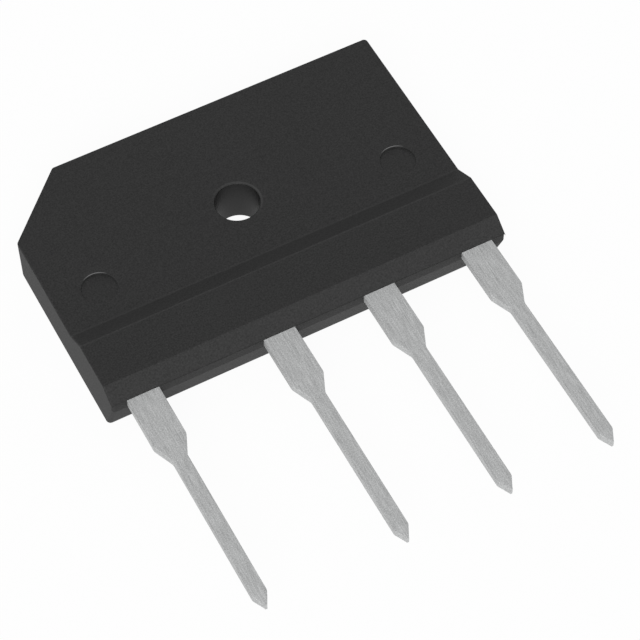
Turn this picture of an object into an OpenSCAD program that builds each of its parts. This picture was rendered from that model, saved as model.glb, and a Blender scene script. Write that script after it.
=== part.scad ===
// Single-in-line bridge rectifier with a screw hole, lying on its heat-sink face.
// The origin is the centre of the screw hole on the heat-sink face. +Z leaves the front
// face, the leads run along -Y, and the positive lead is the one on the -X side.

/* [Body] */
// Width of the moulded body, along the row of leads
body_w = 29.5; // [27:0.1:33]
// Height of the moulded body, from the lead end to the top end
body_h = 20; // [18:0.1:23]
// Thickness over the raised band at the lead end
body_t = 4.6; // [4.3:0.1:6]
// Thickness of the plate round the screw hole
plate_t = 3.6; // [3.5:0.1:4.1]
// Height of the raised band, from the lead end to the start of its ramp
band_h = 4.8; // [3.6:0.1:5.5]
// Run of the ramp from the raised band down to the plate
ramp_run = 1.7; // [0.8:0.1:2.2]
// Run of the bevel on the front edge of the lead end
bevel_run = 1.2; // [0.6:0.1:1.5]
// Drop of that bevel, from the raised band to the parting land
bevel_drop = 0.85; // [0.6:0.05:1.1]
// How far the lead end leans back from the parting land to the heat-sink face
lean_run = 1.25; // [0.5:0.05:1.5]
// Height of the upright parting land that the leads come out of
land_h = 0.7; // [0.65:0.05:1.3]
// Run of the corner cut beside the positive lead
corner_cut = 4.8; // [3:0.1:5.5]

/* [Rounded edges] */
// Radius of the upright corners of the body
corner_r = 0.3; // [0.25:0.05:0.6]
// Radius of the outer edges of the front face
edge_r = 0.12; // [0.08:0.02:0.2]
// Radius of the long edges of the ramp, the bevel and the land
fold_r = 0.1; // [0.06:0.02:0.2]
// Radius of the front rim of the screw hole
rim_r = 0.06; // [0.04:0.02:0.2]

/* [Screw hole and pin marks] */
// Diameter of the screw hole
hole_d = 3.15; // [3:0.05:3.8]
// Distance of the screw hole from the top end
hole_down = 8.8; // [8:0.1:9.6]
// Diameter of the two round marks of the ejector pins
mark_d = 2.5; // [1.5:0.1:3]
// Depth of the ejector marks
mark_depth = 0.2; // [0.1:0.05:0.4]
// Distance of each ejector mark from its side of the body
mark_side = 3.35; // [2:0.05:5]
// Distance of the ejector marks from the lead end
mark_up = 9.1; // [8.3:0.1:11.5]

/* [Leads] */
// Thickness of the lead frame
frame_t = 0.6; // [0.4:0.05:0.65]
// Length of the leads outside the body
lead_len = 17.6; // [10:0.1:25]
// Width of the shoulder next to the body
shoulder_w = 2.35; // [1.8:0.05:2.5]
// Length of the shoulder outside the body
shoulder_len = 4; // [2:0.1:6]
// Length of the taper from the shoulder to the pin
taper_len = 1.5; // [0.5:0.1:2.5]
// Width of the pin
pin_w = 1.05; // [0.6:0.05:1.5]
// Length of the cut point of the pin
point_len = 0.9; // [0.4:0.1:2]
// Width left flat at the very end of the point
point_flat = 0.12; // [0.05:0.01:0.4]
// Distance of the outer leads from the sides of the body
lead_side = 2.25; // [2:0.05:3]
// Spacing from the positive lead to the first AC lead; the others share the rest evenly
wide_pitch = 10; // [8:0.1:12]

/* [Lead frame inside] */
// Epoxy left under the pads, at the heat-sink face
floor_t = 0.8; // [0.5:0.05:0.9]
// Straight length of each lead inside the lead end, before it bends down
entry_len = 1.2; // [1:0.1:1.4]
// Epoxy left beside the pads, at the top end and along the corner cut
cover = 1.1; // [0.8:0.05:1.3]
// Gap between neighbouring pieces of the lead frame
pad_gap = 0.8; // [0.5:0.05:1]
// Epoxy left round the screw hole
hole_wall = 1.1; // [0.8:0.05:1.3]

/* [Chips, solder and clips] */
// Side of each square diode chip
chip_w = 3.6; // [2.8:0.1:3.8]
// Bare edge of the pad beside each chip on the AC pads
chip_margin = 0.5; // [0.3:0.05:0.8]
// Thickness of each diode chip
chip_t = 0.28; // [0.2:0.01:0.35]
// Thickness of each solder layer
solder_t = 0.08; // [0.04:0.01:0.12]
// How far a solder layer stays inside the edge of what it joins
solder_in = 0.2; // [0.1:0.05:0.4]
// Thickness of the clips
clip_t = 0.35; // [0.2:0.05:0.4]
// Width of the clips
clip_w = 2.2; // [1.6:0.1:2.4]
// Length of a clip's flat on a chip
clip_flat = 2.4; // [1.8:0.1:2.6]
// Length of a clip's flat on a pad
foot_len = 1.4; // [1:0.1:1.5]
// How much a clip's arch stands above its flats
arch_rise = 0.45; // [0.2:0.05:0.5]
// Run of each slope from a clip's arch down to a chip
arch_run = 0.5; // [0.4:0.05:0.6]
// Run of each slope from a clip's arch down to a pad
foot_run = 0.8; // [0.7:0.05:1]

/* [Hidden] */

$fn = 64;
// Straight pieces in each rounded corner of a drawn outline
ARC_STEPS = 6;
// How far a cutter runs past the surface that it cuts
OVER = 1;
// How far the cutter of a solder layer runs into the pieces above and below it
SOLDER_OVER = solder_t / 2;

// Heights above the heat-sink face
land_top = body_t - bevel_drop;
land_bottom = land_top - land_h;
lead_z = land_top - frame_t;
pad_top = floor_t + frame_t;
solder_top = pad_top + solder_t;
chip_top = solder_top + chip_t;
clip_z = chip_top + solder_t;

// Epoxy kept clear of the lead frame round the screw hole, from its middle
hole_keep = hole_d / 2 + hole_wall;

// Places along Y
top_end = hole_down;
lead_end = top_end - body_h;
ramp_end = lead_end + band_h + ramp_run;
bend_y = lead_end + entry_len;
bend_flat = 0.7 * frame_t;
pad_y = bend_y + 2 * bend_flat + lead_z - floor_t;
bar_top = top_end - cover;
pad_end = hole_keep - pad_gap;

// Places along X
half_w = body_w / 2;
negative_x = half_w - lead_side;
positive_x = -negative_x;
ac_a_x = positive_x + wide_pitch;
ac_b_x = (ac_a_x + negative_x) / 2;
pad_out = negative_x - shoulder_w / 2 - pad_gap;

// Middles of the chips: two on the positive bar, then one on each AC pad
chip_x = (pad_out + hole_keep) / 2;
upper_y = (hole_keep + bar_top) / 2;
lower_y = pad_y + chip_margin + chip_w / 2;
foot_y = pad_end - solder_in - foot_len / 2;

// Middle of the rounded upright corner beside the negative lead
corner_middle = [half_w - corner_r, top_end - corner_r];

// Outline of the body seen from the side, as [y, z] from the foot of the lead end round
// by the front, with the radius of each corner
SIDE = [
    [lead_end + lean_run, 0], [lead_end, land_bottom], [lead_end, land_top],
    [lead_end + bevel_run, body_t], [lead_end + band_h, body_t], [ramp_end, plate_t],
    [top_end, plate_t], [top_end, 0]
];
SIDE_R = [0, fold_r, fold_r, fold_r, fold_r, fold_r, edge_r, 0];

// The point at radius r and angle a
function polar(r, a) = [r * cos(a), r * sin(a)];

// Points of an arc of radius r round the middle m, from angle a through the turn d
function arc(m, r, a, d) = [for (i = [0 : ARC_STEPS]) m + polar(r, a + d * i / ARC_STEPS)];

// Turn from angle a to angle b the short way round
function short_turn(a, b) = (b - a + 540) % 360 - 180;

// The corner p between its neighbours a and b, as an arc of radius r that touches both sides
function round_corner(a, p, b, r) =
    let (
        u = (a - p) / norm(a - p),
        v = (b - p) / norm(b - p),
        half = acos(u * v) / 2,
        middle = p + (u + v) / norm(u + v) * r / sin(half),
        from = p + u * r / tan(half) - middle,
        to = p + v * r / tan(half) - middle,
        start = atan2(from.y, from.x)
    )
    arc(middle, r, start, short_turn(start, atan2(to.y, to.x)));

// A closed outline whose corner i has radius radii[i], or stays sharp at radius 0
function rounded(points, radii) = [
    for (i = [0 : len(points) - 1])
        let (
            before = points[(i + len(points) - 1) % len(points)],
            after = points[(i + 1) % len(points)]
        )
        each (radii[i] > 0 ? round_corner(before, points[i], after, radii[i]) : [points[i]])
];

// A strip of thickness t on the line of its lower face, whose bends have the inner radius r
function strip(line, t, r) =
    let (
        last = len(line) - 1,
        upper = [for (i = [last : -1 : 0]) line[i] + t * mitre(line, i)],
        lower_r = [for (i = [0 : last]) i == 0 || i == last ? 0 : bend_r(line, i, -t, r)],
        upper_r = [for (i = [last : -1 : 0]) i == 0 || i == last ? 0 : bend_r(line, i, t, r)]
    )
    rounded(concat(line, upper), concat(lower_r, upper_r));

// Left-hand normal of the piece of a line that starts at point i
function normal(line, i) = let (d = line[i + 1] - line[i]) [-d.y, d.x] / norm(d);

// Direction from the lower to the upper face at point i, long enough to keep the thickness
function mitre(line, i) =
    i == 0 ? normal(line, 0) :
    i == len(line) - 1 ? normal(line, i - 1) :
    let (m = normal(line, i - 1) + normal(line, i)) m * 2 / (m * m);

// Radius of the upper face at point i, or of the lower face for a negative t: r on the
// inner side of the bend and r plus the thickness on the outer side
function bend_r(line, i, t, r) =
    let (
        d = line[i] - line[i - 1],
        e = line[i + 1] - line[i],
        turn = d.x * e.y - d.y * e.x
    )
    turn * t < 0 ? r + abs(t) : r;

// The waste outside a quarter-round of radius r, for an edge at the origin with its
// material towards -X and +Y
module edge_waste(r) {
    polygon(concat(arc([-r, r], r, -90, 90), [[OVER, r], [OVER, -OVER], [-r, -OVER]]));
}

// Cuts a quarter-round along both ends of the piece of the side outline from a to b
module side_edges(a, b, r) {
    d = b - a;
    for (side = [0, 1])
        mirror([side, 0, 0])
            translate([half_w, a.x, a.y])
                rotate([atan2(-d.x, d.y), 0, 0])
                    translate([0, 0, -r])
                        linear_extrude(norm(d) + 2 * r)
                            edge_waste(r);
}

// Everything on one side of the foot of the ramp, where its two edge cuts meet
module beyond_ramp(side) {
    translate([-body_w, side > 0 ? ramp_end : ramp_end - body_h, -OVER])
        cube([2 * body_w, body_h, body_t + 2 * OVER]);
}

// Waste along the front edge of the corner cut
module corner_cut_edge() {
    translate([-half_w + corner_cut / 2, top_end - corner_cut / 2, plate_t])
        rotate([90, 0, 135])
            translate([0, 0, -corner_cut])
                linear_extrude(2 * corner_cut)
                    mirror([0, 1])
                        edge_waste(edge_r);
}

// Plan of the body, with its corner cut beside the positive lead. The upright corner beside
// the negative lead is notched to the middle of its round, where the corner post stands
module body_plan() {
    polygon([
        [-half_w, lead_end], [half_w, lead_end], [half_w, corner_middle.y], corner_middle,
        [corner_middle.x, top_end], [-half_w + corner_cut, top_end],
        [-half_w, top_end - corner_cut]
    ]);
}

// Fills that notch with a round post whose top edge is rounded, and which runs into the body
module corner_post() {
    translate([corner_middle.x, corner_middle.y, 0])
        rotate_extrude()
            polygon(concat(
                [[0, 0], [corner_r, 0]],
                arc([corner_r - edge_r, plate_t - edge_r], edge_r, 0, 90),
                [[0, plate_t]]
            ));
}

// Waste of every rounded outer edge that the two outlines do not round
module outer_edges() {
    for (i = [0 : 2])
        side_edges(SIDE[i], SIDE[i + 1], corner_r);
    side_edges(SIDE[3], SIDE[4], edge_r);
    intersection() {
        side_edges(SIDE[4], SIDE[5], edge_r);
        beyond_ramp(-1);
    }
    intersection() {
        side_edges(SIDE[5], SIDE[6], edge_r);
        beyond_ramp(1);
    }
    corner_cut_edge();
}

// The body with all its outer edges, before anything is cut into it
module blank() {
    difference() {
        intersection() {
            rotate([90, 0, 90])
                translate([0, 0, -half_w])
                    linear_extrude(body_w)
                        polygon(rounded(SIDE, SIDE_R));
            linear_extrude(body_t)
                body_plan();
        }
        outer_edges();
    }
    corner_post();
}

// The screw hole with its rounded front rim
module screw_hole() {
    translate([0, 0, -OVER])
        cylinder(d = hole_d, h = plate_t + 2 * OVER);
    translate([0, 0, plate_t])
        rotate_extrude()
            translate([hole_d / 2, 0])
                rotate(180)
                    edge_waste(rim_r);
}

// The two shallow marks that the ejector pins leave
module ejector_marks() {
    for (side = [-1, 1])
        translate([side * (half_w - mark_side), lead_end + mark_up, plate_t - mark_depth])
            cylinder(d = mark_d, h = mark_depth + OVER);
}

// Moulded epoxy body, which fills every space round the pieces inside it
module molded_body() {
    color("#2d2d2d")
        difference() {
            blank();
            screw_hole();
            ejector_marks();
            positive_lead();
            ac_lead_a();
            ac_lead_b();
            negative_lead();
            for (i = [0 : 3]) {
                chip(i);
                die_solder(i, SOLDER_OVER);
                top_solder(i, SOLDER_OVER);
            }
            for (side = [-1, 1]) {
                ac_clip(side);
                foot_solder(side * chip_x, foot_y, SOLDER_OVER);
            }
            negative_clip();
            foot_solder(negative_x, lower_y, SOLDER_OVER);
        }
}

// The part of a lead that is the same on all four: the pin with its point, the taper and
// the shoulder, straight into the lead end and bent down to the level of the pads
module lead_blade(x) {
    shoulder = shoulder_w / 2;
    pin = pin_w / 2;
    tip = lead_end - lead_len;
    translate([x, 0, lead_z])
        linear_extrude(frame_t)
            polygon([
                [shoulder, bend_y], [shoulder, lead_end - shoulder_len],
                [pin, lead_end - shoulder_len - taper_len], [pin, tip + point_len],
                [point_flat / 2, tip], [-point_flat / 2, tip],
                [-pin, tip + point_len], [-pin, lead_end - shoulder_len - taper_len],
                [-shoulder, lead_end - shoulder_len], [-shoulder, bend_y]
            ]);
    // The bend starts and ends in a short flat, so that it meets the blade and the pad squarely
    rotate([90, 0, 90])
        translate([0, 0, x - shoulder])
            linear_extrude(shoulder_w)
                polygon(strip([
                    [bend_y, lead_z], [bend_y + bend_flat, lead_z],
                    [pad_y - bend_flat, floor_t], [pad_y, floor_t]
                ], frame_t, frame_t / 2));
}

// A flat piece of the lead frame at the level of the pads
module pad(points) {
    translate([0, 0, floor_t])
        linear_extrude(frame_t)
            polygon(points);
}

// Positive lead: a column up the side of the body and a bar over the screw hole
module positive_lead() {
    outer = positive_x - shoulder_w / 2;
    inner = positive_x + shoulder_w / 2;
    bar_out = chip_x + chip_w / 2 + pad_gap;
    // Line that stays one cover inside the corner cut, as the value of y - x
    cut = top_end + half_w - corner_cut - cover * sqrt(2);
    color("#b4b7b4") {
        lead_blade(positive_x);
        pad([
            [outer, pad_y], [inner, pad_y], [inner, hole_keep], [bar_out, hole_keep],
            [bar_out, bar_top], [bar_top - cut, bar_top], [outer, outer + cut]
        ]);
    }
}

// First AC lead: its pad stands beside the screw hole and reaches below it to the other pad
module ac_lead_a() {
    reach = hole_keep - pad_gap;
    color("#b4b7b4") {
        lead_blade(ac_a_x);
        pad([
            [-pad_out, pad_y], [reach, pad_y], [reach, -hole_keep],
            [-hole_keep, -hole_keep], [-hole_keep, pad_end], [-pad_out, pad_end]
        ]);
    }
}

// Second AC lead, with its pad on the other side of the screw hole
module ac_lead_b() {
    color("#b4b7b4") {
        lead_blade(ac_b_x);
        pad([[hole_keep, pad_y], [pad_out, pad_y], [pad_out, pad_end], [hole_keep, pad_end]]);
    }
}

// Negative lead: a plain column that takes the foot of the long clip
module negative_lead() {
    side = shoulder_w / 2;
    color("#b4b7b4") {
        lead_blade(negative_x);
        pad([
            [negative_x - side, pad_y], [negative_x + side, pad_y],
            [negative_x + side, pad_end], [negative_x - side, pad_end]
        ]);
    }
}

// Moves to the middle of chip i, where 0 and 1 are on the bar and 2 and 3 on the AC pads
module at_chip(i, z) {
    translate([i % 2 == 0 ? -chip_x : chip_x, i < 2 ? upper_y : lower_y, z])
        children();
}

// A flat block centred on its own origin and standing on it
module block(size) {
    translate([-size.x / 2, -size.y / 2, 0])
        cube(size);
}

// Silicon diode chip
module chip(i) {
    color("#4d5560")
        at_chip(i, solder_top)
            block([chip_w, chip_w, chip_t]);
}

// Solder between a chip and the lead frame, with more height above and below where asked
module die_solder(i, more = 0) {
    side = chip_w - 2 * solder_in;
    color("#8f918f")
        at_chip(i, pad_top - more)
            block([side, side, solder_t + 2 * more]);
}

// Solder between a chip and the flat of its clip, which lies along Y on the bar and
// along X on the AC pads
module top_solder(i, more = 0) {
    along = clip_flat - 2 * solder_in;
    across = clip_w - 2 * solder_in;
    height = solder_t + 2 * more;
    color("#8f918f")
        at_chip(i, chip_top - more)
            block(i < 2 ? [across, along, height] : [along, across, height]);
}

// Solder under the foot of a clip; the foot of the long clip is turned along X
module foot_solder(x, y, more = 0) {
    along = foot_len - 2 * solder_in;
    across = clip_w - 2 * solder_in;
    height = solder_t + 2 * more;
    color("#8f918f")
        translate([x, y, pad_top - more])
            block(x == negative_x ? [along, across, height] : [across, along, height]);
}

// Clip from a chip on the bar, over an arch and down to the AC pad below it
module ac_clip(side) {
    flat = clip_flat / 2;
    arch_z = clip_z + arch_rise;
    near = upper_y - flat;
    foot = foot_y + foot_len / 2;
    color("#b87548")
        rotate([90, 0, 90])
            translate([0, 0, side * chip_x - clip_w / 2])
                linear_extrude(clip_w)
                    polygon(strip([
                        [foot_y - foot_len / 2, solder_top], [foot, solder_top],
                        [foot + foot_run, arch_z], [near - arch_run, arch_z],
                        [near, clip_z], [upper_y + flat, clip_z]
                    ], clip_t, clip_t / 2));
}

// Long clip over both chips on the AC pads and down to the negative lead
module negative_clip() {
    flat = clip_flat / 2;
    arch_z = clip_z + arch_rise;
    foot = negative_x - foot_len / 2;
    color("#b87548")
        translate([0, lower_y + clip_w / 2, 0])
            rotate([90, 0, 0])
                linear_extrude(clip_w)
                    polygon(strip([
                        [-chip_x - flat, clip_z], [-chip_x + flat, clip_z],
                        [-chip_x + flat + arch_run, arch_z],
                        [chip_x - flat - arch_run, arch_z],
                        [chip_x - flat, clip_z], [chip_x + flat, clip_z],
                        [chip_x + flat + arch_run, arch_z], [foot - foot_run, arch_z],
                        [foot, solder_top], [negative_x + foot_len / 2, solder_top]
                    ], clip_t, clip_t / 2));
}

molded_body();
positive_lead();
ac_lead_a();
ac_lead_b();
negative_lead();
chip(0);  // diode_chip_1
chip(1);  // diode_chip_2
chip(2);  // diode_chip_3
chip(3);  // diode_chip_4
ac_clip(-1);  // ac_clip_a
ac_clip(1);  // ac_clip_b
negative_clip();
die_solder(0);  // die_solder_1
die_solder(1);  // die_solder_2
die_solder(2);  // die_solder_3
die_solder(3);  // die_solder_4
top_solder(0);  // top_solder_1
top_solder(1);  // top_solder_2
top_solder(2);  // top_solder_3
top_solder(3);  // top_solder_4
foot_solder(-chip_x, foot_y);  // foot_solder_a
foot_solder(chip_x, foot_y);  // foot_solder_b
foot_solder(negative_x, lower_y);  // foot_solder_n
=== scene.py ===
import math

import bmesh
import bpy
import numpy as np
from mathutils import Matrix, Vector


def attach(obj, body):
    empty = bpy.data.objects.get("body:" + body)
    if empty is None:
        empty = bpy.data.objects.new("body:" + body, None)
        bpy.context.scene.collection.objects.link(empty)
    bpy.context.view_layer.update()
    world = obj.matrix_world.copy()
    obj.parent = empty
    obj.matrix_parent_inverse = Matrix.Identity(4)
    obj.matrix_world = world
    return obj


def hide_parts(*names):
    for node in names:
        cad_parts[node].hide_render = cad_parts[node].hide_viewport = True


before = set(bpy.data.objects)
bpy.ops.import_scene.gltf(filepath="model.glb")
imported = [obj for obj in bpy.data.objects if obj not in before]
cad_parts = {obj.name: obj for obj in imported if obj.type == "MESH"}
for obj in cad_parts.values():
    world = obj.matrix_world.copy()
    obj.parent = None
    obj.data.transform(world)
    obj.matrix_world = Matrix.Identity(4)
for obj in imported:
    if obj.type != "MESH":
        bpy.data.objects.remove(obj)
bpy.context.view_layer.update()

# Leads: four strips of a 0.6 mm copper lead frame, stamped with a shoulder, a taper and a cut
# point, bent down to their pads and plated with matte tin. The die rolls the upper edges over
# and leaves the lower edges crisp, and the moulding grips the pads.
MM = 0.001
STRIP_THICK = 0.6
# Heights of the middle of the strip, where it leaves the body and at the pads
LEAD_HEIGHT = 3.45
PAD_HEIGHT = 1.1
ROLLED_EDGE = 0.04
BURR_EDGE = 0.03
EDGE_POINTS = 4
# Place of the end of the body that the leads come out of, and their lengths outside it
LEAD_END = -11.2
LEAD_LENGTH = 17.6
SHOULDER_LENGTH = 4
TAPER_LENGTH = 1.5
POINT_LENGTH = 0.9
SHOULDER_HALF = 1.175
PIN_HALF = 0.525
POINT_HALF = 0.06
# Places along a lead, from its tip to its shoulder, and half its width at each
TIP = LEAD_END - LEAD_LENGTH
SHOULDER_START = LEAD_END - SHOULDER_LENGTH
LEAD_PLACES = np.array([
    TIP, TIP + POINT_LENGTH, SHOULDER_START - TAPER_LENGTH, SHOULDER_START,
])
LEAD_HALF = np.array([POINT_HALF, PIN_HALF, PIN_HALF, SHOULDER_HALF])
# The widths are averaged over this length either way, which blunts the corners
BLUNTING = 0.1
# Inside the body a lead runs level, then down a slope of 45 degrees between two bends. The
# flats are what its lower face keeps level before and after the slope
ENTRY_LENGTH = 1.2
BEND_FLAT = 0.42
BEND_ANGLE = 45
BEND_RADIUS = 0.6
BEND_STEPS = 6
HALF_BEND = math.tan(math.radians(BEND_ANGLE / 2))
BEND_START = LEAD_END + ENTRY_LENGTH + BEND_FLAT + STRIP_THICK / 2 * HALF_BEND
PAD_MOUTH = LEAD_END + ENTRY_LENGTH + 2 * BEND_FLAT + LEAD_HEIGHT - PAD_HEIGHT
# Points closer than this are welded, and edges sharper than this angle are shaded as edges
WELD = 0.0002
SHARP_ANGLE = 35


def arc(middle, radius, start, end, steps):
    """Points at one radius round the middle, at angles spread evenly from start to end."""
    angle = np.radians(np.linspace(start, end, steps + 1))
    return np.asarray(middle) + radius * np.stack([np.cos(angle), np.sin(angle)], axis=1)


def lead_line():
    """Middle line of a lead as (y, z, slope): level from the tip, with stations close together
    where the width changes, then down at 45 degrees between two arcs that touch it."""
    near = np.linspace(-2 * BLUNTING, 2 * BLUNTING, 9)
    places = np.unique((LEAD_PLACES[:, None] + near).clip(TIP))
    reach = BEND_RADIUS * HALF_BEND
    upper = (BEND_START - reach, LEAD_HEIGHT - BEND_RADIUS)
    lower = (BEND_START + LEAD_HEIGHT - PAD_HEIGHT + reach, PAD_HEIGHT + BEND_RADIUS)
    line = np.vstack([
        np.stack([places, np.full(len(places), LEAD_HEIGHT)], axis=1),
        arc(upper, BEND_RADIUS, 90, 90 - BEND_ANGLE, BEND_STEPS),
        arc(lower, BEND_RADIUS, 270 - BEND_ANGLE, 270, BEND_STEPS),
        [PAD_MOUTH, PAD_HEIGHT],
    ])
    down = np.linspace(0, -BEND_ANGLE, BEND_STEPS + 1)
    slope = np.concatenate([np.zeros(len(places)), down, down[::-1], [0]])
    return line[:, 0], line[:, 1], np.radians(slope)


def lead_half(y):
    """Half width of a lead at y: straight between the places, averaged over a short length
    either way, which blunts the corners as the die does."""
    near = y[:, None] + np.linspace(-BLUNTING, BLUNTING, 7)
    return np.interp(near, LEAD_PLACES, LEAD_HALF).mean(axis=1)


def strip_section(half, sharp):
    """Section of the strip at each station as (across, up): a rectangle whose upper corners
    have the rolled radius and whose lower corners have the burr's, and none where sharp."""
    quarters = np.arange(0, 360, 90)[:, None] + np.linspace(0, 90, EDGE_POINTS)
    angle = np.radians(quarters).ravel()
    side = np.repeat([1, -1, -1, 1], EDGE_POINTS)
    level = np.repeat([1, 1, -1, -1], EDGE_POINTS)
    radius = np.where(level > 0, ROLLED_EDGE, BURR_EDGE) * ~sharp[:, None]
    radius = np.minimum(radius, half[:, None])
    across = side * (half[:, None] - radius) + radius * np.cos(angle)
    up = level * (STRIP_THICK / 2 - radius) + radius * np.sin(angle)
    return across, up


def ring_quads(rows, columns):
    """Quads between the rows of a grid whose columns close on themselves, as four indices."""
    here = np.arange(rows * columns).reshape(rows, columns)
    beside = np.roll(here, -1, axis=1)
    return np.stack([here[:-1], beside[:-1], beside[1:], here[1:]], axis=2)


def solid_piece(name, points, faces):
    """A piece from points in mm: points that fall together are welded, every face is turned
    outwards, and only sharp edges are shaded as edges."""
    mesh = bpy.data.meshes.new(name)
    mesh.from_pydata((points * MM).tolist(), [], faces)
    work = bmesh.new()
    work.from_mesh(mesh)
    bmesh.ops.remove_doubles(work, verts=work.verts, dist=WELD * MM)
    bmesh.ops.recalc_face_normals(work, faces=work.faces)
    work.to_mesh(mesh)
    work.free()
    mesh.shade_smooth()
    mesh.set_sharp_from_angle(angle=math.radians(SHARP_ANGLE))
    piece = bpy.data.objects.new(name, mesh)
    bpy.context.scene.collection.objects.link(piece)
    weighted = piece.modifiers.new("flat faces stay flat", "WEIGHTED_NORMAL")
    weighted.keep_sharp = True
    return piece


def make_lead(name, x, corners):
    """A lead as one surface: the strip's section carried along its line, capped at the tip,
    and the pad's outline raised through the thickness, open only where the strip joins it.
    The corners run from the right end of that mouth round to its left end."""
    y, z, slope = (column[:, None] for column in lead_line())
    across, up = strip_section(lead_half(y.ravel()), y.ravel() == PAD_MOUTH)
    strip = np.stack([x + across, y - up * np.sin(slope), z + up * np.cos(slope)], axis=2)
    rows, columns = across.shape
    pad = np.array([(x + SHOULDER_HALF, PAD_MOUTH), *corners, (x - SHOULDER_HALF, PAD_MOUTH)])
    levels = PAD_HEIGHT + STRIP_THICK / 2 * np.array([1, -1])
    slab = np.column_stack([np.tile(pad, (2, 1)), np.repeat(levels, len(pad))])
    top = rows * columns + np.arange(len(pad))
    bottom = top + len(pad)
    walls = np.stack([bottom[:-1], bottom[1:], top[1:], top[:-1]], axis=1)
    faces = ring_quads(rows, columns).reshape(-1, 4).tolist() + walls.tolist()
    faces += [list(range(columns)), top.tolist(), bottom[::-1].tolist()]
    piece = solid_piece(name, np.vstack([strip.reshape(-1, 3), slab]), faces)
    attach(piece, "root")
    return piece


# What the pads keep to in the moulding: its half width, its top end, its corner cut, its
# hole, and the epoxy left beside the metal
HALF_WIDTH = 14.75
TOP_END = 8.8
CUT = 4.8
HOLE_RADIUS = 1.575
COVER = 1.1
# Gap between neighbours of the lead frame, and the chips that the positive bar has room for
PAD_GAP = 0.8
CHIP_WIDTH = 3.6
LEAD_SIDE = 2.25
WIDE_PITCH = 10
outer_x = HALF_WIDTH - LEAD_SIDE
first_ac_x = WIDE_PITCH - outer_x
clear = HOLE_RADIUS + COVER
pad_end = clear - PAD_GAP
pad_side = outer_x - SHOULDER_HALF - PAD_GAP
bar_top = TOP_END - COVER
bar_end = (pad_side + clear + CHIP_WIDTH) / 2 + PAD_GAP
# The bar's corner keeps this value of y - x, which is one cover inside the corner cut
cut_line = TOP_END + HALF_WIDTH - CUT - COVER * math.sqrt(2)
column_side = outer_x + SHOULDER_HALF
leads = {
    "positive_lead": (-outer_x, [
        (SHOULDER_HALF - outer_x, clear), (bar_end, clear), (bar_end, bar_top),
        (bar_top - cut_line, bar_top), (-column_side, cut_line - column_side),
    ]),
    "ac_lead_a": (first_ac_x, [
        (pad_end, PAD_MOUTH), (pad_end, -clear), (-clear, -clear), (-clear, pad_end),
        (-pad_side, pad_end), (-pad_side, PAD_MOUTH),
    ]),
    "ac_lead_b": ((first_ac_x + outer_x) / 2, [
        (pad_side, PAD_MOUTH), (pad_side, pad_end), (clear, pad_end), (clear, PAD_MOUTH),
    ]),
    "negative_lead": (outer_x, [
        (column_side, pad_end), (outer_x - SHOULDER_HALF, pad_end),
    ]),
}


def colour(code):
    """An sRGB hex colour as linear red, green, blue and alpha."""
    value = np.array([int(code[i:i + 2], 16) for i in (0, 2, 4)]) / 255
    linear = np.where(value <= 0.04045, value / 12.92, ((value + 0.055) / 1.055) ** 2.4)
    return (*linear.tolist(), 1.0)


def fill(tree, node, inputs):
    """Fills inputs of a node: a socket is linked, and anything else is a value."""
    for name, value in inputs.items():
        if isinstance(value, bpy.types.NodeSocket):
            tree.links.new(value, node.inputs[name])
        else:
            node.inputs[name].default_value = value


def add(tree, kind, settings, inputs):
    """Adds one node, sets its properties and fills its inputs."""
    node = tree.nodes.new("ShaderNode" + kind)
    for name, value in settings.items():
        setattr(node, name, value)
    fill(tree, node, inputs)
    return node


def new_material(name):
    """A node material with its tree and its main shader."""
    material = bpy.data.materials.new(name)
    material.use_nodes = True
    return material, material.node_tree, material.node_tree.nodes["Principled BSDF"]


def noise(tree, place, size, detail, roughness=0.5):
    """A soft random value from 0 to 1, in patches of about that size."""
    return add(tree, "TexNoise", {}, {
        "Vector": place, "Scale": 1 / (size * MM), "Detail": detail, "Roughness": roughness,
    }).outputs["Fac"]


def maths(tree, operation, *values):
    """The result of one operation on those values."""
    return add(tree, "Math", {"operation": operation}, dict(enumerate(values))).outputs[0]


def spread(tree, value, low, high, start=0.0, end=1.0):
    """A straight line from low to high while the value goes from start to end, and level
    beyond."""
    return add(tree, "MapRange", {}, {
        "Value": value, "From Min": start, "From Max": end, "To Min": low, "To Max": high,
    }).outputs["Result"]


def ramp(tree, value, dark, pale, start=0.0, end=1.0):
    """A colour from dark to pale while the value goes from start to end."""
    node = add(tree, "ValToRGB", {}, {"Fac": value})
    for stop, position, code in zip(node.color_ramp.elements, (start, end), (dark, pale)):
        stop.position = position
        stop.color = colour(code)
    return node.outputs["Color"]


def lay(tree, share, under, over, blend="MIX"):
    """The colour over, laid by that share on the colour under."""
    return add(tree, "Mix", {"data_type": "RGBA", "blend_type": blend}, {
        0: share, 6: under, 7: over,
    }).outputs[2]


def upward(tree):
    """How far the surface faces up: 1 for level, 0 for upright and -1 for an underside."""
    normal = add(tree, "NewGeometry", {}, {}).outputs["Normal"]
    return add(tree, "SeparateXYZ", {}, {"Vector": normal}).outputs["Z"]


def bumps(tree, height, strength):
    """A normal tilted by pits 0.01 mm deep, of that strength."""
    return add(tree, "Bump", {}, {
        "Height": height, "Strength": strength, "Distance": 0.01 * MM,
    }).outputs["Normal"]


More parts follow.
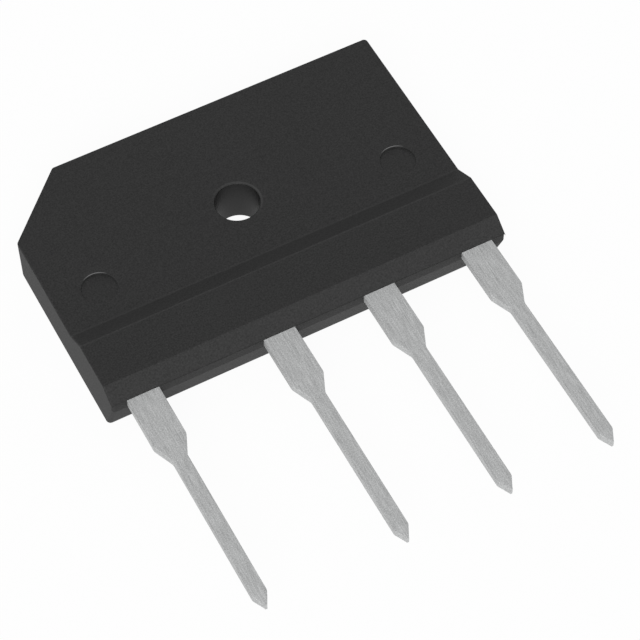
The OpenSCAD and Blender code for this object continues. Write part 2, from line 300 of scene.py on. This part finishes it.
# Matte tin plated on rolled copper strip: a pale neutral grey metal with a broad soft sheen.
# The rolling lines of the strip show through it along the lead. The plating's grain, really a
# few microns, is drawn at 0.08 mm.
ROLLING_WIDTH = 0.08
ROLLING_LENGTH = 1.5
PLATING_GRAIN = 0.08
GRAIN_SHARE = 0.6
tin, tree, shader = new_material("matte_tin_on_rolled_copper")
place = add(tree, "TexCoord", {}, {}).outputs["Object"]
along = add(tree, "Mapping", {}, {
    "Vector": place, "Scale": (1 / ROLLING_WIDTH, 1 / ROLLING_LENGTH, 1 / ROLLING_WIDTH),
})
rolling = noise(tree, along.outputs[0], 1, 1)
grain = noise(tree, place, PLATING_GRAIN, 1)
texture = add(tree, "Mix", {}, {0: GRAIN_SHARE, 2: rolling, 3: grain}).outputs[0]
# Painted shade: the upright sheared sides of the strip are darker than its rolled faces
side_shade = spread(tree, maths(tree, "ABSOLUTE", upward(tree)), 0.9, 1.0)
strip_tone = ramp(tree, texture, "B6B7B7", "E6E7E7", 0.3, 0.7)
fill(tree, shader, {
    "Metallic": 1.0,
    "Base Color": lay(tree, 1.0, strip_tone, side_shade, "MULTIPLY"),
    "Roughness": spread(tree, texture, 0.64, 0.76),
    "Normal": bumps(tree, grain, 0.2),
})

for name, (x, corners) in leads.items():
    lead = make_lead(name + "_strip", x, corners)
    lead.data.materials.append(tin)
    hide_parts(name)

# Solder: a printed layer under each chip, one under each clip's flat and one under each
# clip's foot, melted in one pass. It is a high-lead alloy, dull grey with a frosted skin.
frosted_solder, tree, shader = new_material("reflowed_high_lead_solder")
place = add(tree, "TexCoord", {}, {}).outputs["Object"]
frost = noise(tree, place, 0.2, 4)
fill(tree, shader, {
    "Metallic": 1.0,
    "Base Color": ramp(tree, frost, "85878A", "A9ABAC"),
    "Roughness": 0.5,
    "Normal": bumps(tree, frost, 0.3),
})

# Diode chips: four squares sawn from a silicon wafer, soldered to the lead frame face down.
# The upper face is nickel plated for the clip, and the sawn sides stay dark grey silicon.
sawn_silicon, tree, shader = new_material("sawn_silicon_with_nickel_face")
place = add(tree, "TexCoord", {}, {}).outputs["Object"]
plated = maths(tree, "GREATER_THAN", upward(tree), 0.5)
# Saw lines, really 5 microns apart, are drawn 0.25 mm apart up the sides: the wave repeats
# every 0.314 of its size
SAW_WAVE = 0.8
saw_lines = add(tree, "TexWave", {"bands_direction": "Z"}, {
    "Vector": place, "Scale": 1 / (SAW_WAVE * MM), "Distortion": 1.5,
})
sawn_tone = ramp(tree, saw_lines.outputs["Fac"], "343A44", "4A515C")
fill(tree, shader, {
    "Metallic": plated,
    "Base Color": lay(tree, plated, sawn_tone, colour("B9B7AE")),
    "Roughness": 0.32,
})

# Clips: three strips of 0.35 mm copper, stamped and bent to an arch so that they give with
# the heat, and soldered from the chips to the pads. Bare rolled copper, slightly tarnished.
rolled_copper, tree, shader = new_material("rolled_bare_copper")
place = add(tree, "TexCoord", {}, {}).outputs["Object"]
tarnish = noise(tree, place, 1.5, 4)
fill(tree, shader, {
    "Metallic": 1.0,
    "Base Color": ramp(tree, tarnish, "A9694A", "CC8A66", 0.3, 0.7),
    "Roughness": spread(tree, tarnish, 0.3, 0.45),
})

# The solids of the solder, chips and clips show as they are, each in its own finish
finishes = {"solder": frosted_solder, "chip": sawn_silicon, "clip": rolled_copper}
for name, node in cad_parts.items():
    for part, finish in finishes.items():
        if part in name:
            node.data.materials.clear()
            node.data.materials.append(finish)

# Moulding: black epoxy, transfer moulded in one shot round everything above. It has a
# raised band and a ramp at the lead end, an upright land where the leads come out, a cut
# corner beside the positive lead, the screw hole and two marks of the ejector pins.
BODY_THICK = 4.6
PLATE = 3.6
LAND_TOP = LEAD_HEIGHT + STRIP_THICK / 2
LAND_HEIGHT = 0.7
BAND = 4.8
RAMP_RUN = 1.7
BEVEL_RUN = 1.2
LEAN_RUN = 1.25
# Narrow ledge that the two halves of the mould leave over the leads
LEDGE = 0.07
# Corners of the body seen from the side as (y, z), from the foot of the lead end round by
# the front, the radius of each, and that of the body's side edge along the piece after it
SIDE = np.array([
    [LEAD_END + LEAN_RUN, 0], [LEAD_END, LAND_TOP - LAND_HEIGHT], [LEAD_END, LAND_TOP],
    [LEAD_END + LEDGE, LAND_TOP], [LEAD_END + BEVEL_RUN, BODY_THICK],
    [LEAD_END + BAND, BODY_THICK], [LEAD_END + BAND + RAMP_RUN, PLATE], [TOP_END, PLATE],
])
BAND_EDGE, RAMP_END = 5, 6
CORNER = 0.3
PLATE_EDGE = 0.12
FOLD = (0, 0.1, 0.03, 0.02, 0.1, 0.1, 0.1)
SIDE_EDGE = (CORNER, CORNER, 0.2, PLATE_EDGE, PLATE_EDGE, PLATE_EDGE, PLATE_EDGE)
EDGE_STEPS = 8
FOLD_STEPS = 5
# Middles of the upright corners at the top end: the plain one, then both ends of the cut,
# whose arcs turn by 45 degrees each
CUT_TANGENT = CORNER * math.tan(math.radians(45 / 2))
PLAIN_MIDDLE = (HALF_WIDTH - CORNER, TOP_END - CORNER)
CUT_MIDDLES = (
    (CUT + CUT_TANGENT - HALF_WIDTH, TOP_END - CORNER),
    (CORNER - HALF_WIDTH, TOP_END - CUT - CUT_TANGENT),
)
# The hole is fitted into a square of the plate and the base that is crossed by these lines
HOLE_RIM = 0.06
HOLE_SQUARE = 2.25
hole_lines = np.linspace(-HOLE_SQUARE, HOLE_SQUARE, 25)
# Each ejector mark is fitted into a rectangle of the plate: near x, far x, near y and far y,
# which is one of the lines of the hole
MARK_RADIUS = 1.25
MARK_RIM = 0.03
MARK_DEPTH = 0.16
MARK_SIDE = 3.35
MARK_UP = 9.1
MARK_X = HALF_WIDTH - MARK_SIDE
MARK_Y = LEAD_END + MARK_UP
MARK_ROOM = 1.75
MARK_FIELD = (MARK_X - MARK_ROOM, MARK_X + MARK_ROOM, MARK_Y - MARK_ROOM, hole_lines[10])
# Direction in plan in which the pins' faces lean, so that they sink in most at the far side,
# and the share of the depth that they keep at the near side
MARK_LEAN = np.array([0.35, 0.94])
MARK_LEAST = 0.01
# Lines across the plate from the marks to the far side of the hole
plate_lines = np.concatenate([np.linspace(MARK_FIELD[2], -HOLE_SQUARE, 11), hole_lines[1:]])


def edge_drop(inset, radius):
    """How far a rounded edge has dropped below its face at a distance in from its side."""
    left = radius - np.minimum(inset, radius)
    return radius - np.sqrt(radius**2 - left**2)


def side_corner(k, drop):
    """Corner k of the side outline at every station: where the two sides meet once each has
    moved in by its drop, plus the small arc of the fold, which keeps its shape."""
    before, here, after = SIDE[k - 1], SIDE[k], SIDE[k + 1]
    if k == 0:
        before = np.array([0.0, 0.0])
    to_before = (before - here) / np.linalg.norm(before - here)
    to_after = (after - here) / np.linalg.norm(after - here)
    inward = np.array([[-to_before[1], to_before[0]], [to_after[1], -to_after[0]]])
    moved = here + np.linalg.solve(inward, drop).T
    if k == 0:
        return moved[:, None, :]
    half = math.acos(to_before @ to_after) / 2
    bisector = (to_before + to_after) / np.linalg.norm(to_before + to_after)
    middle = bisector * FOLD[k] / math.sin(half)
    ends = np.stack([to_before, to_after]) * FOLD[k] / math.tan(half) - middle
    start, end = np.degrees(np.arctan2(ends[:, 1], ends[:, 0]))
    # The arc turns the short way round
    end = start + (end - start + 540) % 360 - 180
    return moved[:, None, :] + arc(middle, FOLD[k], start, end, FOLD_STEPS)


def top_end_line(x, inset):
    """Y of the body's plan at x, drawn in by an inset: the straight top end, the straight
    corner cut at 45 degrees, and arcs round the three middles between them."""
    radius = CORNER - inset
    (near_x, near_y), (far_x, far_y) = CUT_MIDDLES
    lean = radius * math.sqrt(0.5)
    plain_across = x - PLAIN_MIDDLE[0]
    plain_arc = PLAIN_MIDDLE[1] + np.sqrt(np.maximum(radius**2 - plain_across**2, 0))
    near_arc = near_y + np.sqrt(np.maximum(radius**2 - (x - near_x)**2, 0))
    far_arc = far_y + np.sqrt(np.maximum(radius**2 - (x - far_x)**2, 0))
    cut = x + near_y - near_x + radius * math.sqrt(2)
    return np.select(
        [x > PLAIN_MIDDLE[0], x >= near_x, x >= near_x - lean, x >= far_x - lean],
        [plain_arc, TOP_END - inset + 0 * x, near_arc, cut],
        far_arc,
    )


def body_loops(x):
    """The body's section at every station x as a closed loop of (y, z): the side outline up
    to the plate, lines across the plate, the rounded top edge, the end wall and the base."""
    inset = HALF_WIDTH - abs(x)
    drop = np.stack([edge_drop(inset, radius) for radius in SIDE_EDGE])
    outline = [side_corner(0, np.stack([0 * inset, drop[0]]))]
    outline += [side_corner(k, drop[k - 1:k + 1]) for k in range(1, len(SIDE) - 1)]
    plate = PLATE - edge_drop(inset, PLATE_EDGE)[:, None]
    edge_start = np.arccos(1 - np.minimum(inset, PLATE_EDGE) / PLATE_EDGE)[:, None]
    turn = edge_start * np.linspace(1, 0, EDGE_STEPS + 1)
    edge_y = top_end_line(x[:, None], PLATE_EDGE * (1 - np.cos(turn)))
    edge_z = PLATE - PLATE_EDGE * (1 - np.sin(turn))
    last = plate_lines[-1] + (edge_y[:, :1] - plate_lines[-1]) * np.array([0.25, 0.5, 0.75])
    y = np.concatenate([
        np.broadcast_to(plate_lines, (len(x), len(plate_lines))), last, edge_y,
        edge_y[:, -1:], np.broadcast_to(hole_lines[::-1], (len(x), len(hole_lines))),
    ], axis=1)
    z = np.concatenate([
        np.broadcast_to(plate, (len(x), len(plate_lines) + last.shape[1])), edge_z,
        np.zeros((len(x), len(hole_lines) + 1)),
    ], axis=1)
    return np.concatenate([*outline, np.stack([y, z], axis=2)], axis=1)


def ring_patch(xs, ys, middle, profile, border_heights):
    """Rings that fill a rectangle of the grid: its border at the first height, a circle for
    each (radius, z) of the profile, with every point at the angle of its border point, and
    the border again at the second height, if there is one."""
    border = np.concatenate([
        np.stack([xs[:-1], np.full(len(xs) - 1, ys[0])], axis=1),
        np.stack([np.full(len(ys) - 1, xs[-1]), ys[:-1]], axis=1),
        np.stack([xs[:0:-1], np.full(len(xs) - 1, ys[-1])], axis=1),
        np.stack([np.full(len(ys) - 1, xs[0]), ys[:0:-1]], axis=1),
    ])
    ray = border - middle
    ray = ray / np.linalg.norm(ray, axis=1, keepdims=True)
    circles = [
        np.column_stack([middle + ray * radius, np.full(len(ray), z)]) for radius, z in profile
    ]
    borders = [np.column_stack([border, np.full(len(ray), z)]) for z in border_heights]
    return np.stack([borders[0], *circles, *borders[1:]])


# Stations across the body: the lines of the hole and of the marks' fields, and lines close
# together round the side edges and the near end of the corner cut
edge_turn = 1 - np.cos(np.radians(np.linspace(0, 90, EDGE_STEPS + 1)))
side_insets = np.concatenate([PLATE_EDGE * edge_turn, CORNER * edge_turn])
one_side = np.concatenate([
    np.linspace(HOLE_SQUARE, MARK_FIELD[0], 5), np.linspace(MARK_FIELD[0], MARK_FIELD[1], 20),
    [(MARK_FIELD[1] + HALF_WIDTH - CORNER) / 2], HALF_WIDTH - side_insets,
])
cut_turn = CUT_MIDDLES[0][0] - CORNER * np.sin(np.radians(np.linspace(0, 45, 5)))
stations = np.unique(np.concatenate([hole_lines, one_side, -one_side, cut_turn]).round(6))
loops = body_loops(stations)
across = np.broadcast_to(stations[:, None, None], (*loops.shape[:2], 1))
grid = np.concatenate([across, loops], axis=2)
quads = ring_quads(*grid.shape[:2])

# The quads under the hole and the marks are left out, and rings are fitted in their place
NEAR = 0.01
quad_x, quad_y, quad_z = np.moveaxis(grid.reshape(-1, 3)[quads].mean(axis=2), 2, 0)
on_plate = quad_z > PLATE - NEAR
in_hole = (
    (on_plate | (quad_z < NEAR)) & (abs(quad_x) < HOLE_SQUARE) & (abs(quad_y) < HOLE_SQUARE)
)
in_field = (
    on_plate & (abs(quad_x) > MARK_FIELD[0]) & (abs(quad_x) < MARK_FIELD[1])
    & (quad_y > MARK_FIELD[2]) & (quad_y < MARK_FIELD[3])
)
hole_profile = [
    *arc((HOLE_RADIUS + HOLE_RIM, PLATE - HOLE_RIM), HOLE_RIM, 90, 180, 6), (HOLE_RADIUS, 0),
]
mark_profile = [
    *arc((MARK_RADIUS + MARK_RIM, PLATE - MARK_RIM), MARK_RIM, 90, 180, 3),
    (MARK_RADIUS, PLATE - MARK_DEPTH),
]
patches = [ring_patch(hole_lines, hole_lines, np.zeros(2), hole_profile, (PLATE, 0))]
field_y = plate_lines[plate_lines < MARK_FIELD[3] + NEAR]
for side in (-1, 1):
    out = stations * side
    field_x = stations[(out > MARK_FIELD[0] - NEAR) & (out < MARK_FIELD[1] + NEAR)]
    mark_middle = np.array([side * MARK_X, MARK_Y])
    patch = ring_patch(field_x, field_y, mark_middle, mark_profile, (PLATE,))
    depth = ((patch[..., :2] - mark_middle) @ MARK_LEAN / MARK_RADIUS + 1) / 2
    patch[..., 2] = PLATE - (PLATE - patch[..., 2]) * depth.clip(MARK_LEAST, 1)
    patches.append(patch)

# The last ring of a mark is closed by its floor, and so are both ends of the body
points = [grid.reshape(-1, 3)]
end_ring = np.arange(grid.shape[1])
faces = quads[~(in_hole | in_field)].tolist()
faces += [end_ring.tolist(), (end_ring + len(points[0]) - len(end_ring)).tolist()]
for patch in patches:
    first = sum(len(part) for part in points)
    rows, columns = patch.shape[:2]
    points.append(patch.reshape(-1, 3))
    faces += (first + ring_quads(rows, columns).reshape(-1, 4)).tolist()
    if patch is not patches[0]:
        faces.append((first + (rows - 1) * columns + np.arange(columns)).tolist())
body = solid_piece("epoxy_moulding", np.vstack(points), faces)
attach(body, "root")
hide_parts("molded_body")

# Black epoxy moulding compound from a spark-eroded steel mould: a matte black-grey with a
# blotchy grain. The mould's pits, really about 0.03 mm, are drawn at 0.11 mm so that they show,
# and slow clouds show where the compound flowed.
PITS = 0.11
FLOW = 5
epoxy, tree, shader = new_material("spark_textured_black_epoxy")
place = add(tree, "TexCoord", {}, {}).outputs["Object"]
pits = noise(tree, place, PITS, 3, 0.6)
speck = ramp(tree, pits, "121212", "2A2A2A", 0.3, 0.7)
cloud = spread(tree, noise(tree, place, FLOW, 2), 0.94, 1.06)
body_tone = lay(tree, 1.0, speck, cloud, "MULTIPLY")
# The lower half of the mould, which forms the faces that look down, is eroded a little coarser
up = upward(tree)
coarser = spread(tree, up, 0.06, 0.0, -0.35, -0.1)
matte = maths(tree, "ADD", spread(tree, pits, 0.78, 0.68), coarser)

# Places in plan: across and along from the middle of the nearer mark, and from the hole
spot = add(tree, "SeparateXYZ", {}, {"Vector": place})
side = maths(tree, "SIGN", spot.outputs["X"])
from_mark = add(tree, "CombineXYZ", {}, {
    "X": maths(tree, "MULTIPLY_ADD", side, -MARK_X * MM, spot.outputs["X"]),
    "Y": maths(tree, "SUBTRACT", spot.outputs["Y"], MARK_Y * MM),
}).outputs[0]
from_hole = add(tree, "CombineXYZ", {}, {
    "X": spot.outputs["X"], "Y": spot.outputs["Y"],
}).outputs[0]


def length(tree, ray):
    """Length of a ray in plan."""
    return add(tree, "VectorMath", {"operation": "LENGTH"}, {0: ray}).outputs["Value"]


def line_at(tree, distance, at, reach):
    """1 where the distance is at that value, falling smoothly to 0 at the reach either way."""
    gap = maths(tree, "ABSOLUTE", maths(tree, "SUBTRACT", distance, at * MM))
    return add(tree, "MapRange", {"interpolation_type": "SMOOTHSTEP"}, {
        "Value": gap, "From Max": reach * MM, "To Min": 1.0, "To Max": 0.0,
    }).outputs["Result"]


# Painted highlights: a pale arc painted behind each ejector mark, where its rim catches the
# light, and a faint painted ring round the far side of the hole. Each is a circle that fades
# out away from one bearing, between two values of the cosine of the angle to it
painted_highlights = []
for ray, radius, reach, bearing, least, most, share in (
    (from_mark, MARK_RADIUS + 0.06, 0.045, (0.12, 0.99, 0), 0.76, 0.98, 1.0),
    (from_hole, HOLE_RADIUS + 0.13, 0.12, (0.8, 0.6, 0), -0.3, 0.9, 0.13),
):
    aim = add(tree, "VectorMath", {"operation": "NORMALIZE"}, {0: ray}).outputs[0]
    facing = add(tree, "VectorMath", {"operation": "DOT_PRODUCT"}, {0: aim, 1: bearing})
    fade = spread(tree, facing.outputs["Value"], 0.0, share, least, most)
    circle = line_at(tree, length(tree, ray), radius, reach)
    painted_highlights.append(maths(tree, "MULTIPLY", circle, fade))
# A pale painted highlight lies along each fold of the ramp, a little to the lead end's side of
# it
for fold, shift, reach, share in ((BAND_EDGE, 0.02, 0.12, 0.06), (RAMP_END, 0.06, 0.17, 0.08)):
    line = line_at(tree, spot.outputs["Y"], SIDE[fold, 0] - shift, reach)
    painted_highlights.append(maths(tree, "MULTIPLY", line, share))
pale = painted_highlights[0]
for next_highlight in painted_highlights[1:]:
    pale = maths(tree, "MAXIMUM", pale, next_highlight)
# All the painted highlights lie on the faces that look up
pale = maths(tree, "MULTIPLY", pale, maths(tree, "GREATER_THAN", up, 0.3))
# The painted highlights lighten the epoxy's colour towards a pale grey
highlighted_tone = lay(tree, pale, body_tone, colour("777777"))

# The polished core pin leaves the wall of the hole smoother, and the wall's colour is painted
# darker: painted shade inside the hole
WALL_REACH = 0.02
on_wall = maths(tree, "LESS_THAN", length(tree, from_hole), (HOLE_RADIUS + WALL_REACH) * MM)
fill(tree, shader, {
    "Base Color": lay(tree, on_wall, highlighted_tone, colour("121212")),
    "Roughness": add(tree, "Mix", {}, {0: on_wall, 2: matte, 3: 0.52}).outputs[0],
    "Specular IOR Level": 0.45,
    "Normal": bumps(tree, pits, 0.5),
})
body.data.materials.append(epoxy)

# Floor: a sheet of white card that the part lies on, just under its heat-sink face. It
# shows as nearly white, and keeps a faint shadow.
FLOOR_HALF = 1500
FLOOR_DROP = 0.01
CARD_GLOW = 0.95
floor_mesh = bpy.data.meshes.new("white_card")
floor_corners = np.array([(-1, -1, 0), (1, -1, 0), (1, 1, 0), (-1, 1, 0)]) * FLOOR_HALF
floor_points = (floor_corners - (0, 0, FLOOR_DROP)) * MM
floor_mesh.from_pydata(floor_points.tolist(), [], [(0, 1, 2, 3)])
floor = bpy.data.objects.new("white_card", floor_mesh)
bpy.context.scene.collection.objects.link(floor)
card, tree, shader = new_material("white_card_matte")
fill(tree, shader, {"Base Color": colour("E6E6E6"), "Roughness": 0.9})
glow = add(tree, "Emission", {}, {"Color": colour("FFFFFF"), "Strength": 1.0})
ray = add(tree, "LightPath", {}, {})
seen = maths(tree, "MAXIMUM", ray.outputs["Is Camera Ray"], ray.outputs["Is Glossy Ray"])
seen = maths(tree, "MAXIMUM", seen, ray.outputs["Is Transmission Ray"])
surface = add(tree, "MixShader", {}, {
    0: maths(tree, "MULTIPLY", seen, CARD_GLOW), 1: shader.outputs["BSDF"], 2: glow.outputs[0],
})
fill(tree, tree.nodes["Material Output"], {"Surface": surface.outputs[0]})
floor_mesh.materials.append(card)

# Light: a grey room all round and one broad soft lamp from the front left, together at the
# level where a colour shows as it is written.
world = bpy.data.worlds.new("grey_room")
bpy.context.scene.world = world
world.use_nodes = True
fill(world.node_tree, world.node_tree.nodes["Background"], {
    "Color": colour("FFFFFF"), "Strength": 0.53,
})
lamp = bpy.data.lights.new("soft_lamp", "SUN")
lamp.energy = 2.3
lamp.angle = math.radians(40)
lamp_holder = bpy.data.objects.new("soft_lamp", lamp)
lamp_holder.rotation_euler = (math.radians(50), 0, math.radians(-28))
bpy.context.scene.collection.objects.link(lamp_holder)

# Camera: at the photograph's angle, from the front and left, 178 mm from the point aimed at.
AIM = Vector((1.52, -9.182, 0)) * MM
DISTANCE = 177.914
HEADING = -26.507
ELEVATION = 55.3523
ROLL = -1.5328
turn = (
    Matrix.Rotation(math.radians(HEADING), 4, "Z")
    @ Matrix.Rotation(math.radians(90 - ELEVATION), 4, "X")
    @ Matrix.Rotation(math.radians(ROLL), 4, "Z")
)
lens = bpy.data.cameras.new("photo_camera")
lens.lens = 147.02
lens.sensor_width = 36
lens.clip_start = 0.01
camera = bpy.data.objects.new("photo_camera", lens)
camera.matrix_world = Matrix.Translation(AIM) @ turn @ Matrix.Translation((0, 0, DISTANCE * MM))
bpy.context.scene.collection.objects.link(camera)
bpy.context.scene.camera = camera
bpy.context.scene.view_settings.view_transform = "Standard"
